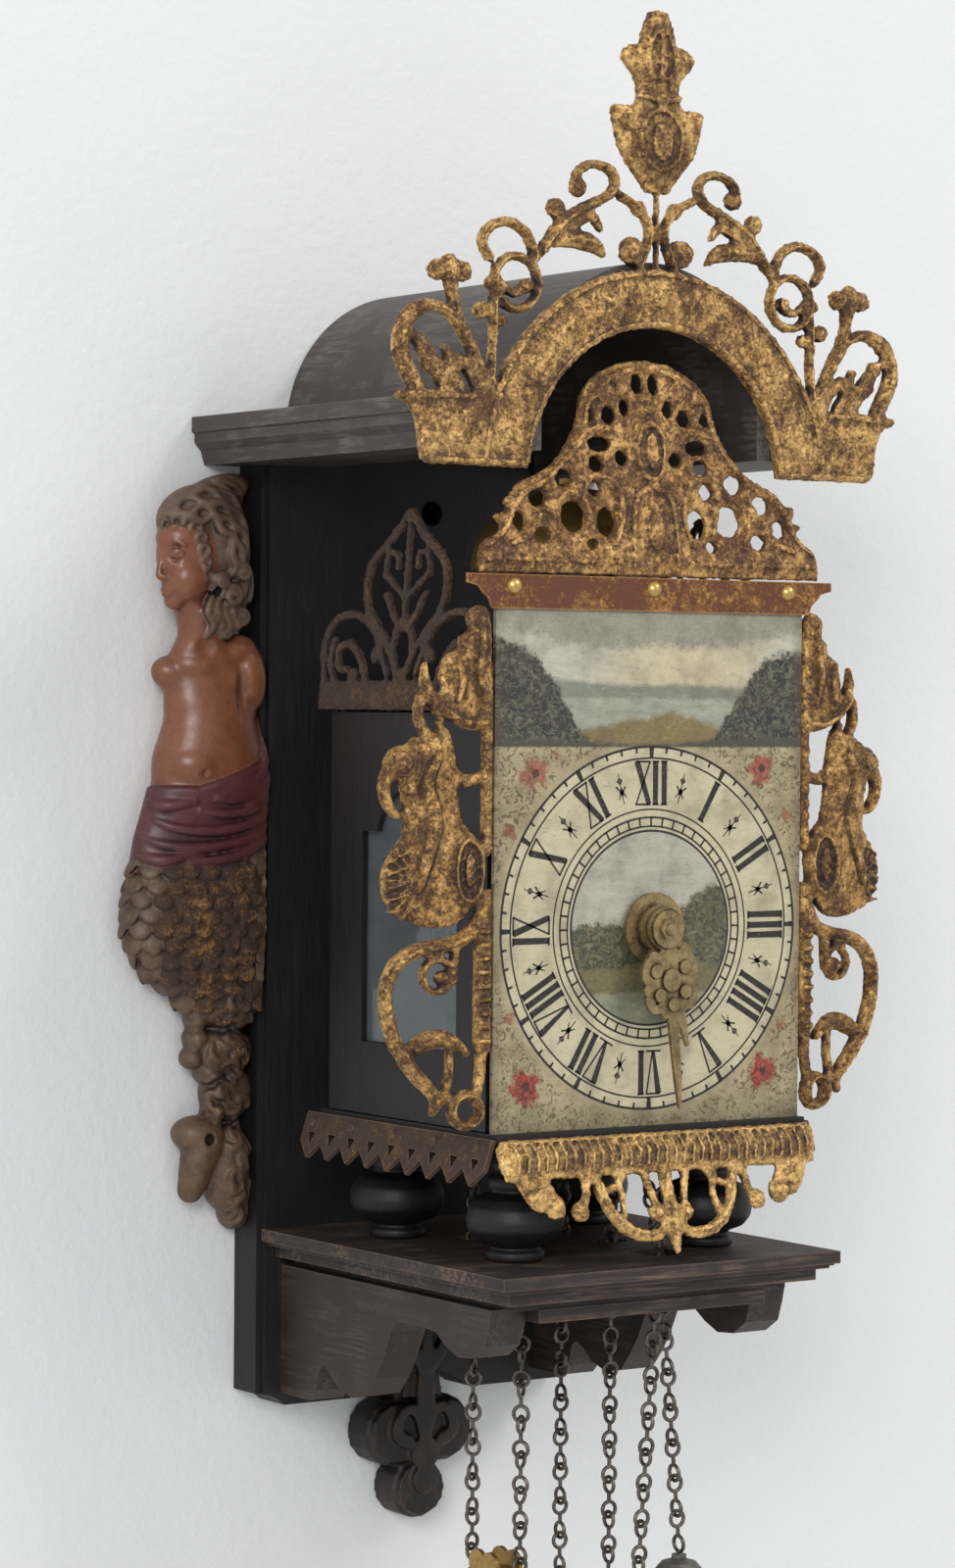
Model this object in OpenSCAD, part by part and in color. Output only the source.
// Chair clock: a weight driven wall clock that stands on a carved bracket with
// its own roof. Millimetres. The origin is the middle of the hanging hole on the
// wall face, +Y points into the wall and +Z up.

/* [Sub-part shown] */
// Name of the sub-part to draw, or all

/* [Wall and back board] */
// Distance from the dial face to the wall
wall_y = 203.2; // [198:0.1:215]
// Height of the hanging hole above the top of the movement case
hook_z = 92.4; // [84:0.1:98]
// Thickness of the back board
board_t = 22.8; // [18:0.1:26]
// Half width of the back board
board_half = 94.4; // [92:0.1:100]
// Lower edge of the back board at its sides
board_bottom = -327; // [-340:1:-315]
// Radius of the hanging hole
hook_r = 6; // [4:0.1:8]

/* [Roof] */
// Underside of the roof ledge
ledge_bottom = 112.4; // [110:0.1:118]
// Thickness of the roof ledge
ledge_t = 22.4; // [18:0.1:26]
// Half width of the roof over its ledges
ledge_half = 121; // [112:0.1:126]
// Outer radius of the vault
vault_r = 69; // [66:0.1:72]
// Wall of the vault
vault_wall = 9; // [6:0.1:10]
// Height of the centre line of the vault
vault_z = 129.7; // [124:0.1:134]

/* [Crest] */
// Thickness of the crest casting
crest_t = 5.5; // [4:0.1:6]
// Height that the ridges stand out of the crest
crest_relief = 1.6; // [0.8:0.1:2.4]
// Outer radius of the arch band
band_outer = 95.6; // [93:0.1:97]
// Inner radius of the arch band
band_inner = 69; // [66:0.1:72]
// Height of the centre of the arch band
band_z = 99.8; // [97:0.1:102]
// Seam between the crest's leaves and its arch band
seam = 0.15; // [0.1:0.05:0.3]
// Lower edge of the arch band's feet
band_foot = 104; // [103:0.1:108]

/* [Movement case] */
// Half width of the movement case and of the dial plate
case_half = 85; // [82:0.1:88]
// Depth of the movement case behind the dial face
case_depth = 137; // [132:0.1:142]
// Thickness of the top plate
top_t = 12; // [8:0.1:14]
// Underside of the top plate
top_z = -2.6; // [-4:0.1:0]
// Upper face of the base plate
base_z = -188; // [-190:0.1:-186]
// Thickness of the base plate
base_t = 12.5; // [9:0.1:14]
// Width of the square corner posts
post_w = 9; // [7:0.1:10]
// Thickness of the dial plate
dial_t = 2; // [1.5:0.1:3]
// Thickness of a side door
door_t = 6; // [5:0.1:7]
// Distance from the dial face to the front edge of a side door
door_front = 5.2; // [5:0.1:8]
// Thickness of a window pane
glass_t = 2; // [1.5:0.1:2.5]

/* [Frets and skirts] */
// Thickness of the side frets
side_fret_t = 3.4; // [2.5:0.1:3.5]
// Angle by which the side frets are swept back
side_sweep = 9; // [7:0.1:12]
// Thickness of the top frets
top_fret_t = 3; // [2:0.1:4]
// Angle by which the front top fret leans back
front_lean = 5.5; // [4:0.1:7]
// Angle by which the side top frets lean in
side_lean = 4; // [2:0.1:6]
// Thickness of the skirts
skirt_t = 2.2; // [1.5:0.1:3]
// Angle by which the skirts flare out
skirt_flare = 18; // [14:0.1:22]
// Height at which the skirts start
skirt_z = -190.5; // [-191:0.1:-190]

/* [Shelf and feet] */
// Upper face of the shelf
shelf_z = -248.4; // [-256:0.1:-246]
// Distance of the shelf's ends inside the sides of the back board
shelf_inset = 1.2; // [0:0.1:3]
// Front edge of the shelf ahead of the dial face
shelf_front = 22.5; // [18:0.1:28]
// Thickness of the shelf board with its moulding
shelf_t = 17.6; // [14:0.1:20]
// Height of the moulding under the front of the shelf
fillet_h = 6; // [4:0.1:8]
// Outer face of the aprons from the middle
apron_x = 82; // [78:0.1:84]
// Thickness of the aprons
apron_t = 19; // [14:0.1:22]
// Radius of the bun feet
foot_r = 22.3; // [18:0.1:24]
// Distance of the feet from the middle
foot_x = 53; // [48:0.1:56]

/* [Drive] */
// Distance from link to link of the chains
link_pitch = 16.3; // [15.5:0.1:17]
// Radius of the chain wire
wire_r = 0.9; // [0.7:0.05:1]
// Radius of the eyes of a link to the middle of the wire
eye_r = 3.6; // [3.4:0.05:3.8]
// Height of the great arbors
great_z = -140; // [-142:0.1:-138]
// Height of the dial centre
dial_z = -99.3; // [-101:0.1:-98]
// Depth at which the pulleys hang
pulley_y = 82; // [80:0.1:84]
// Links of each strand above the main pulley
main_links = 16; // [15:1:18]
// Links of each strand above the counterweight pulley
counter_links = 18; // [17:1:20]
// Running clearance of pivots in their holes
pivot_fit = 0.06; // [0.04:0.01:0.1]
// Clearance between pieces that are laid together
fit = 0.3; // [0.2:0.05:0.4]

/* [Hands] */
// Angle of the minute hand clockwise from twelve
minute_turn = 174; // [170:1:178]
// Angle of the hour hand clockwise from twelve
hour_turn = 164.5; // [160:0.5:166]
// Length of the minute hand from the dial centre
minute_len = 81; // [74:0.5:82]
// Length of the hour hand from the dial centre
hour_len = 55; // [46:0.5:60]

/* [Hidden] */
$fn = 48;
gilt = [0.72, 0.53, 0.22];
dark_gilt = [0.42, 0.31, 0.18];
black_wood = [0.10, 0.09, 0.09];
brown_wood = [0.22, 0.15, 0.11];
iron = [0.22, 0.21, 0.20];
brass = [0.70, 0.55, 0.28];
paint = [0.72, 0.70, 0.60];
flesh = [0.62, 0.42, 0.28];
pane = [0.55, 0.62, 0.66];
lead = [0.45, 0.44, 0.42];

board_y = wall_y - board_t;
shelf_half = board_half - shelf_inset;
ledge_top = ledge_bottom + ledge_t;
vault_inner = vault_r - vault_wall;
crest_back = crest_t - 3;
case_top = top_z + top_t;
base_bottom = base_z - base_t;
case_h = top_z - base_z;
post_x = case_half - door_t - fit - post_w / 2;
sprocket_apothem = link_pitch / 2 / tan(18);
sprocket_joint_r = link_pitch / 2 / sin(18);
pulley_apothem = link_pitch / 2 / tan(22.5);
pulley_joint_r = link_pitch / 2 / sin(22.5);
going_y = pulley_y - pulley_apothem;
strike_y = pulley_y + pulley_apothem;
eye_gap = 2.4;
main_z = great_z - main_links * link_pitch - link_pitch;
counter_z = great_z - counter_links * link_pitch - link_pitch;
chain_hole_r = 8;
alarm_x = 19;
alarm_y = 15;

// Places a piece that is drawn from the dial face and the case top in the frame
// of the hanging hole.
module placed() {
    translate([0, -wall_y, -hook_z])
        children();
}

// Both halves of a shape that is drawn for +x.
module both() {
    children();
    mirror([1, 0, 0])
        children();
}

// Plate that is drawn as x and z and stands up, its front face at y.
module upright(y, t) {
    translate([0, y + t, 0])
        rotate([90, 0, 0])
            linear_extrude(t)
                children();
}

// Smooth curve through points that hold a place and a width.
function spline(a, b, c, d, t) =
    0.5 * ((2 * b) + (c - a) * t + (2 * a - 5 * b + 4 * c - d) * t * t
        + (3 * b - a - 3 * c + d) * t * t * t);
function curve(k, n = 3) = concat(
    [for (i = [0 : len(k) - 2], j = [0 : n - 1])
        spline(k[max(i - 1, 0)], k[i], k[i + 1], k[min(i + 2, len(k) - 1)], j / n)],
    [k[len(k) - 1]]);
function flat(p) = [p[0], p[1]];
function side_of(p, i) =
    let (d = flat(p[min(i + 1, len(p) - 1)]) - flat(p[max(i - 1, 0)]))
    [-d[1], d[0]] / norm(d) * p[i][2] / 2;

// Stem or scroll whose width follows its points, as a flat shape.
module ribbon(k, slim = 1, n = 3) {
    p = curve(k, n);
    e = [for (i = [0 : len(p) - 1]) side_of(p, i) * slim];
    for (i = [0 : len(p) - 2])
        polygon([
            flat(p[i]) + e[i], flat(p[i + 1]) + e[i + 1],
            flat(p[i + 1]) - e[i + 1], flat(p[i]) - e[i]
        ]);
    for (i = [0, len(p) - 1])
        translate(flat(p[i]))
            circle(r = p[i][2] / 2 * slim * 0.98, $fn = 10);
}

// Smooth closed outline through points.
module outline(k, n = 2) {
    m = len(k);
    polygon([for (i = [0 : m - 1], j = [0 : n - 1])
        spline(k[(i + m - 1) % m], k[i], k[(i + 1) % m], k[(i + 2) % m], j / n)]);
}

module dot(x, y, r) {
    translate([x, y])
        circle(r = r, $fn = r < 3 ? 8 : 14);
}

module oval(x, y, a, b) {
    translate([x, y])
        scale([a, b])
            circle(r = 1, $fn = 14);
}

// One flat face from shapes that overlap.
module joined() {
    offset(delta = 0.05)
        children();
}

// Back board with rounded front edges, scalloped foot and arched top.
module board_outline() {
    difference() {
        union() {
            translate([-board_half, board_bottom - 6])
                square([2 * board_half, ledge_bottom - board_bottom + 6]);
            translate([-vault_inner + fit, ledge_bottom - 1])
                square([2 * (vault_inner - fit), vault_z - ledge_bottom + 1]);
            translate([0, vault_z])
                circle(r = vault_inner - fit, $fn = 72);
        }
        for (s = [-1, 1])
            translate([s * board_half, board_bottom - 20])
                circle(r = 20, $fn = 60);
        translate([0, board_bottom - 36])
            circle(r = 40, $fn = 72);
    }
}

module back_board() {
    color(black_wood)
        placed()
            difference() {
                union() {
                    upright(board_y + 3, board_t - 3)
                        board_outline();
                    upright(board_y, 3)
                        intersection() {
                            board_outline();
                            translate([-board_half + 3, board_bottom - 6])
                                square([2 * board_half - 6, 600]);
                        }
                }
                translate([0, wall_y + 1, hook_z])
                    rotate([90, 0, 0])
                        cylinder(r = hook_r, h = board_t + 2);
            }
}

pendant_z = board_bottom - 26;
pendant_x = 14;
pendant_r = 16.5;
pendant_drop = 28;

module trefoil() {
    both()
        dot(pendant_x, pendant_z, pendant_r);
    dot(0, pendant_z - pendant_drop, pendant_r - 1.5);
    translate([-12, pendant_z - 16])
        square([24, 12]);
    translate([0, board_bottom])
        polygon([[-14, -11], [14, -11], [10, 10], [-10, 10]]);
}

module pendant_stems() {
    translate([0, board_bottom]) {
        both()
            ribbon([[0.5, -25, 7], [4, -17, 6], [10, -14, 5], [15, -19, 5], [16, -26, 6],
                [10, -30, 7]]);
        ribbon([[0, -25, 9], [0, -8, 10], [0, 9, 8], [0, 27, 5]]);
        both()
            ribbon([[2, 5, 5], [9, 15, 7], [17, 25, 6], [24, 29, 3]]);
        dot(0, -36, 8);
        dot(0, -49, 7);
    }
}

module pendant_drop_leaves() {
    color(black_wood)
        placed() {
            upright(board_y + 6, board_t - 6)
                difference() {
                    joined()
                        trefoil();
                    board_outline();
                }
            upright(board_y + 2, 4)
                difference() {
                    joined()
                        offset(delta = -2)
                            trefoil();
                    board_outline();
                }
            upright(board_y - 2, 4)
                difference() {
                    joined()
                        pendant_stems();
                    board_outline();
                }
        }
}

// Carved stems on the face of the back board above the pendant.
module pendant_leaves() {
    color(brown_wood)
        placed()
            upright(board_y - 3, 3)
                intersection() {
                    joined()
                        pendant_stems();
                    board_outline();
                }
}

// Profile of the roof ledge from its top edge down: inset and drop.
ledge_profile = [[0, 0], [0, 7], [1.5, 8], [1.5, 12], [5, 16], [7, ledge_t]];

module ledge(side) {
    upright(crest_back, wall_y - crest_back)
        polygon(concat(
            [[side * vault_r, ledge_top]],
            [for (p = ledge_profile) [side * (ledge_half - p[0]), ledge_top - p[1]]],
            [[side * vault_r, ledge_bottom]]));
}

module roof_left() {
    color(black_wood)
        placed()
            ledge(-1);
}

module roof_right() {
    color(black_wood)
        placed()
            ledge(1);
}

module roof_vault() {
    color(black_wood)
        placed()
            upright(crest_back, wall_y - crest_back)
                difference() {
                    intersection() {
                        union() {
                            translate([0, vault_z])
                                circle(r = vault_r, $fn = 72);
                            translate([-vault_r, ledge_bottom])
                                square([2 * vault_r, vault_z - ledge_bottom]);
                        }
                        translate([-vault_r - 1, ledge_bottom])
                            square([2 * vault_r + 2, 2 * vault_r]);
                    }
                    translate([0, vault_z])
                        circle(r = vault_inner, $fn = 72);
                    translate([-vault_inner, ledge_bottom - 1])
                        square([2 * vault_inner, vault_z - ledge_bottom + 1]);
                }
}

// Arch band of the crest with its two feet, drawn as a flat shape.
module band_shape() {
    difference() {
        union() {
            translate([0, band_z])
                circle(r = band_outer, $fn = 96);
            both()
                outline([[70, band_foot], [96, band_foot], [122, band_foot], [126, 111],
                    [128, 123], [132, 129.5], [137, 131], [137.5, 135], [120, 136.5],
                    [100, 136.5], [82, 136], [72, 120]]);
        }
        translate([0, band_z])
            circle(r = band_inner, $fn = 96);
        translate([-130, band_foot - 100])
            square([260, 100]);
    }
}

module ring_shape(outer, inner, z, bottom) {
    difference() {
        translate([0, z])
            circle(r = outer, $fn = 96);
        translate([0, z])
            circle(r = inner, $fn = 96);
        translate([-outer - 1, bottom - 2 * outer])
            square([2 * outer + 2, 2 * outer]);
    }
}

module crest_arch() {
    color(gilt)
        placed() {
            upright(crest_back - crest_t + crest_relief, crest_t - crest_relief)
                joined()
                    band_shape();
            upright(crest_back - crest_t, crest_relief)
                joined() {
                    ring_shape(band_outer, band_outer - 3.4, band_z, band_foot + 2);
                    ring_shape(band_inner + 3.4, band_inner, band_z, band_foot + 2);
                    both()
                        ribbon([[98, 134, 3], [112, 134, 3], [126, 133.6, 3.6],
                            [134.5, 133.2, 3.6]]);
                    both()
                        ribbon([[76, 106, 3], [100, 106, 3], [119, 106, 3]]);
                    dot(0, band_z + (band_outer + band_inner) / 2, 4.5);
                    for (a = [30 : 24 : 150])
                        dot((band_outer + band_inner) / 2 * cos(a),
                            band_z + (band_outer + band_inner) / 2 * sin(a), 2.2);
                }
        }
}

big_leaf = [[128, 137, 8], [135, 150, 9], [135.5, 160, 8], [130, 169, 8], [120, 172.5, 6],
    [110, 169, 5], [102, 158, 4.5], [94, 145, 5]];
tall_sprig = [[92, 142, 5], [100, 158, 4.5], [107, 170, 5], [110.5, 184, 7]];
twig = [[89, 140, 4.5], [88, 158, 4], [88, 178, 4]];
corner_loop = [[66, 196, 5], [70, 206, 5], [79, 211, 5], [89, 209, 5], [94, 202, 5],
    [90, 195, 4.5]];
long_stem = [[63, 199, 5], [52, 213, 5.5], [38, 221, 5.5], [26, 227, 5], [23, 234, 5],
    [28, 239, 5], [37, 239.5, 4.5], [44, 235, 4.5], [44, 230, 4]];
inner_stem = [[20, 227, 4.5], [10, 222, 4.5], [4.5, 214, 4.5], [5.5, 205, 4.5],
    [10, 196, 4]];

module leaf_shapes(slim, n) {
    ribbon(big_leaf, slim, n);
    ribbon(tall_sprig, slim, n);
    ribbon(twig, slim, n);
    ribbon(corner_loop, slim, n);
    ribbon(long_stem, slim, n);
    ribbon(inner_stem, slim, n);
}

module crest_leaf_half() {
    leaf_shapes(1, 3);
    dot(121, 148, 4.5);
    dot(126, 157, 4);
    ribbon([[112, 136, 6], [117, 145, 8], [124, 154, 7], [130, 160, 4]]);
    dot(117, 188, 5);
    dot(104.4, 188, 5);
    dot(111, 191, 4.5);
    dot(94, 172, 4.2);
    dot(86, 177, 4);
    dot(84, 168, 3.4);
    dot(89, 184, 3.5);
    ribbon([[94, 136, 7], [100, 146, 7], [107, 151, 5]]);
    ribbon([[104, 136, 6], [110, 147, 6], [113, 155, 4]]);
    difference() {
        dot(76, 185, 14);
        dot(76, 185, 9.6);
    }
    ribbon([[71, 184, 7], [78, 180, 4], [86, 186, 4]]);
    ribbon([[60, 203, 5], [54, 205, 7], [44, 206, 9], [34, 204, 8], [29, 200, 3]]);
    ribbon([[54, 207, 5], [46, 214, 8], [36, 217, 6], [31, 211, 3]]);
    dot(55, 219, 4.8);
    dot(43, 229, 4.6);
    dot(13.6, 203, 6.6);
    dot(10, 222, 4);
}

module leaf_casting(side) {
    mirror([side < 0 ? 1 : 0, 0, 0]) {
        upright(crest_back - crest_t + crest_relief, crest_t - crest_relief)
            joined()
                difference() {
                    crest_leaf_half();
                    offset(delta = seam)
                        band_shape();
                    translate([-10, 180])
                        square([11.5, 60]);
                }
        upright(crest_back - crest_t, crest_relief)
            joined()
                difference() {
                    union() {
                        leaf_shapes(0.42, 2);
                        difference() {
                            dot(76, 185, 12.8);
                            dot(76, 185, 10.8);
                        }
                        dot(71, 184, 3);
                        dot(118, 187, 3);
                        dot(104, 188, 3);
                        dot(43, 229, 3);
                        dot(15.5, 203, 4);
                        ribbon([[50, 205, 2], [42, 207, 4], [33, 204, 2]]);
                    }
                    offset(delta = seam + 0.3)
                        band_shape();
                    translate([-10, 180])
                        square([12.5, 60]);
                }
    }
}

module crest_leaves_left() {
    color(gilt)
        placed()
            leaf_casting(-1);
}

module crest_leaves_right() {
    color(gilt)
        placed()
            leaf_casting(1);
}

module finial_half() {
    polygon(concat([[0, 311.5]],
        [for (p = curve([[5, 310, 0], [9, 301, 0], [10, 296, 0], [15, 295, 0], [20, 290.5, 0],
            [18.5, 286, 0], [13, 280, 0], [11.5, 273, 0], [14, 268, 0], [24.5, 267.5, 0],
            [24.5, 260, 0], [21, 248, 0], [15, 240, 0], [8, 232, 0], [6, 229, 0]])) flat(p)],
        [[0, 229]]));
}

module crest_finial() {
    color(gilt)
        placed() {
            upright(crest_back - crest_t + crest_relief, crest_t - crest_relief)
                joined() {
                    both()
                        finial_half();
                    translate([-1.3, band_z + band_outer + seam])
                        square([2.6, 34 - seam]);
                }
            upright(crest_back - crest_t, crest_relief)
                joined() {
                    difference() {
                        oval(0, 253, 13, 15);
                        oval(0, 253, 10, 12);
                    }
                    oval(0, 252, 6, 9);
                    for (x = [-6, 0, 6])
                        ribbon([[x * 0.8, 280, 3.6], [x * 1.3, 287, 4.4], [x * 1.2, 293, 3.4],
                            [x * 0.4, 303, 2.4]]);
                    ribbon([[-11, 272, 3], [0, 270.5, 3], [11, 272, 3]]);
                }
        }
}

// Turned bun foot: radius against height above the shelf.
foot_h = base_bottom - shelf_z;
foot_profile = [[0, 0], [13, 0], [13.4, 4], [9.5, 6.5], [foot_r * 0.8, 9.5], [foot_r - 0.8, 14],
    [foot_r, 19], [foot_r - 1.2, 24], [foot_r * 0.78, 28.5], [10.5, 31], [12.5, 33.5], [12.5, 37],
    [9.6, 40], [10.5, foot_h - 3], [13, foot_h], [0, foot_h]];

module bun_feet() {
    color(black_wood)
        placed()
            for (s = [-1, 1], y = [28, 125])
                translate([s * foot_x, y, shelf_z])
                    rotate_extrude($fn = 48)
                        polygon(foot_profile);
}

shelf_profile = [[0, 0], [0, 5.6], [2, 6.6], [3.6, 8], [8, 9.6], [8, 13.6], [13, 14.4],
    [18, shelf_t], [40, shelf_t], [40, 0]];

module shelf_plank() {
    color(brown_wood)
        placed()
            difference() {
                union() {
                    for (i = [0 : len(shelf_profile) - 4]) {
                        a = shelf_profile[i];
                        b = shelf_profile[i + 1];
                        if (b[1] > a[1])
                            translate([0, 0, shelf_z - b[1]])
                                linear_extrude(b[1] - a[1])
                                    translate([-shelf_half + max(a[0], b[0]),
                                        -shelf_front + max(a[0], b[0])])
                                        square([2 * (shelf_half - max(a[0], b[0])),
                                            board_y + shelf_front - max(a[0], b[0])]);
                    }
                }
                chain_holes(shelf_z - shelf_t - 1, shelf_t + 2);
            }
}

module chain_holes(z, h) {
    for (x = [-sprocket_apothem, sprocket_apothem], y = [going_y, strike_y])
        translate([x, y, z])
            cylinder(r = chain_hole_r, h = h, $fn = 32);
    translate([alarm_x - 11, alarm_y - 10, z])
        cube([22, 22.4, h]);
}

module shelf_front_moulding() {
    color(brown_wood)
        placed()
            translate([-apron_x + apron_t + 0.2, -shelf_front + 17, shelf_z - shelf_t - fillet_h])
                cube([2 * (apron_x - apron_t - 0.2), 14, fillet_h]);
}

apron_top = shelf_z - shelf_t;
apron_edge = [[board_y, apron_top], [board_y, -327], [155, -327], [150, -322], [146, -311],
    [143, -309], [138, -311], [130, -317], [118, -320.5], [106, -318], [98, -309], [92, -300],
    [85, -286], [80, -280.5], [68, -280], [58, -280], [48, -281], [40, -286], [30, -290],
    [18, -289], [9, -283], [6, -274], [4, apron_top]];

module apron(side) {
    translate([side > 0 ? apron_x - apron_t : -apron_x, 0, 0])
        rotate([90, 0, 90])
            linear_extrude(apron_t)
                polygon(apron_edge);
}

module apron_left() {
    color(brown_wood)
        placed()
            apron(-1);
}

module apron_right() {
    color(brown_wood)
        placed()
            apron(1);
}

module base_plate() {
    color(black_wood)
        placed()
            difference() {
                translate([-case_half - 0.6, -4.4, base_bottom])
                    cube([2 * case_half + 1.2, case_depth + 8, base_t]);
                chain_holes(base_bottom - 1, base_t + 2);
                translate([alarm_x - 8, alarm_y + 8, base_bottom - 1])
                    cube([16, 20, base_t + 2]);
                translate([alarm_verge_x, alarm_sprocket_y, base_z - 4])
                    cylinder(r = 1.5 + pivot_fit, h = 5, $fn = 32);
                door_pin_holes(base_z - 6);
            }
}

hinge_x = case_half - door_t / 2;
hinge_y = case_depth - door_t / 2;
pin_r = 1.5;

module door_pin_holes(z) {
    for (s = [-1, 1])
        translate([s * hinge_x, hinge_y, z])
            cylinder(r = pin_r + pivot_fit, h = 7, $fn = 32);
}

module top_plate() {
    color(black_wood)
        placed()
            difference() {
                translate([-case_half, dial_t, top_z])
                    cube([2 * case_half, case_depth - dial_t, top_t]);
                translate([0, escape_y, top_z - 1])
                    cylinder(r = escape_arbor_r + pivot_fit, h = top_t + 2, $fn = 32);
                translate([hammer_x - 9, strike_y - 12, top_z - 1])
                    cube([18, 10, top_t + 2]);
                translate([alarm_verge_x, alarm_sprocket_y, top_z - 1])
                    cylinder(r = 1.5 + pivot_fit, h = top_t + 2, $fn = 32);
                door_pin_holes(top_z - 1);
            }
}

module corner_posts() {
    color(iron)
        placed()
            for (s = [-1, 1], y = [dial_t, case_depth - post_w])
                translate([s * post_x - post_w / 2, y, base_z])
                    cube([post_w, post_w, case_h]);
}

module rear_panel() {
    color(iron)
        placed()
            translate([-post_x + post_w / 2, case_depth - 2, base_z])
                cube([2 * post_x - post_w, 2, case_h]);
}

bar_w = 24;
bar_t = 6;
front_bar_y = 14;
middle_bar_y = 80;
rear_bar_y = 122;

module bar(y, holes) {
    difference() {
        translate([-bar_w / 2, y, base_z])
            cube([bar_w, bar_t, case_h]);
        for (h = holes)
            translate([h[0], y - 1, h[1]])
                rotate([-90, 0, 0])
                    cylinder(r = h[2] + pivot_fit, h = bar_t + 2, $fn = 32);
    }
}

pivot_r = 1.2;
arbor_r = 2.4;

module front_bar() {
    color(iron)
        placed()
            difference() {
                bar(front_bar_y, [[0, great_z, arbor_r], [0, contrate_z, pivot_r]]);
                translate([0, front_bar_y + 2, second_z])
                    rotate([-90, 0, 0])
                        cylinder(r = pivot_r + pivot_fit, h = bar_t, $fn = 32);
            }
}

module middle_bar() {
    color(iron)
        placed()
            bar(middle_bar_y, [[0, great_z, pivot_r], [0, second_z, pivot_r],
                [0, contrate_z, pivot_r], [0, lock_z, pivot_r], [0, fly_z, pivot_r]]);
}

module rear_bar() {
    color(iron)
        placed()
            bar(rear_bar_y, [[0, great_z, arbor_r], [0, lock_z, pivot_r],
                [0, fly_z, pivot_r]]);
}

module dial_plate() {
    color(paint)
        placed()
            difference() {
                translate([-case_half, 0, base_z])
                    cube([2 * case_half, dial_t, strip_top - base_z]);
                translate([0, -1, dial_z])
                    rotate([-90, 0, 0])
                        cylinder(r = hour_pipe_r + 0.6, h = dial_t + 2, $fn = 48);
            }
}

strip_top = 57.5;
strip_h = 15;
strip_t = 1.4;

module head_strip() {
    color(dark_gilt)
        placed()
            upright(-strip_t, strip_t)
                polygon([[-case_half - 3, strip_top - strip_h], [case_half + 3, strip_top - strip_h],
                    [case_half + 4.5, strip_top - 11], [case_half + 8, strip_top - 8],
                    [case_half + 10, strip_top - 5.5], [case_half + 16, strip_top - 4],
                    [case_half + 16, strip_top], [-case_half - 16, strip_top],
                    [-case_half - 16, strip_top - 4], [-case_half - 10, strip_top - 5.5],
                    [-case_half - 8, strip_top - 8], [-case_half - 4.5, strip_top - 11]]);
}

module strip_nails() {
    color(brass)
        placed()
            for (x = [-76, 0, 76])
                translate([x, -strip_t, strip_top - 5])
                    rotate([90, 0, 0])
                        rotate_extrude($fn = 32)
                            intersection() {
                                translate([0, -1.6])
                                    circle(r = 4.2, $fn = 32);
                                square([5, 5]);
                            }
}

top_fret_outline = [[94, 1], [94, 9], [90, 15], [84, 17], [82, 21], [86, 25], [79, 28],
    [77, 34], [70, 41], [60, 45], [52, 50], [45, 58], [40, 66], [38, 72], [36, 80], [30, 88],
    [20, 94], [10, 97], [0, 98]];
top_fret_holes = [[4.5, 87, 2.8, 4.5], [33, 72, 3, 3], [21, 72, 3.8, 3.8], [27, 59, 6, 3.2],
    [15, 53, 3.2, 3.2], [29, 50, 3.8, 3.4], [47, 43, 4.5, 4], [25, 24, 5, 6.4], [43, 26, 6.8, 6.8],
    [31, 39, 3.4, 3.4], [33, 14, 2.6, 2.2], [62, 34, 4.4, 4], [60, 17, 4, 3], [72, 23, 3.4, 4],
    [12, 76, 2.6, 3.6]];

module top_fret_flat() {
    difference() {
        both()
            polygon(concat([[-0.1, 0], [94, 0]],
                [for (p = curve([for (q = top_fret_outline) [q[0], q[1], 0]], 3)) flat(p)],
                [[-0.1, 98]]));
        both()
            for (h = top_fret_holes)
                oval(h[0], h[1], h[2], h[3]);
    }
}

module top_fret_ridges() {
    both() {
        for (x = [20 : 5 : 90])
            dot(x, 6, 2.1);
        ribbon([[90, 12, 3], [80, 20, 3], [72, 34, 3.4], [58, 41, 3], [46, 52, 3],
            [37, 62, 3.4], [32, 78, 3], [20, 89, 3.4], [8, 93, 3]]);
        ribbon([[22, 14, 3], [17, 27, 3.4], [21, 42, 3], [33, 44, 3.4], [38, 34, 3]]);
        ribbon([[50, 14, 3], [53, 25, 4], [50, 34, 3.4], [42, 37, 3]]);
        ribbon([[33, 20, 3], [36, 30, 4], [30, 33, 3]]);
        ribbon([[62, 26, 3], [68, 17, 4], [78, 13, 3]]);
        ribbon([[22, 66, 3], [28, 66, 4], [33, 64, 3]]);
        dot(15, 84, 4);
        dot(26, 81, 3.4);
        dot(56, 30, 4);
        dot(78, 31, 3.4);
    }
    difference() {
        oval(0, 56, 9, 15);
        oval(0, 56, 6, 11);
    }
    oval(0, 56, 4, 9);
    both()
        ribbon([[12, 3, 3], [12, 20, 3], [9, 36, 3.4], [0, 40, 4]]);
    oval(0, 20, 5, 9);
    dot(0, 76, 3.6);
}

module front_top_fret() {
    color(dark_gilt)
        placed()
            translate([0, dial_t, strip_top - 0.2])
                rotate([-front_lean, 0, 0]) {
                    translate([0, 0, 0.5])
                        upright(-top_fret_t, top_fret_t)
                            joined()
                                top_fret_flat();
                    translate([0, 0, 0.5])
                        upright(-top_fret_t - 1.6, 1.6)
                            joined()
                                top_fret_ridges();
                }
}

palmette = [[-68, -2], [68, -2], [68, 11], [70, 20], [67, 30], [59, 40], [50, 42.5], [44, 43],
    [34, 44], [33, 50], [34, 58], [28, 68], [17, 75], [9, 80], [0, 89.5]];

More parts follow.
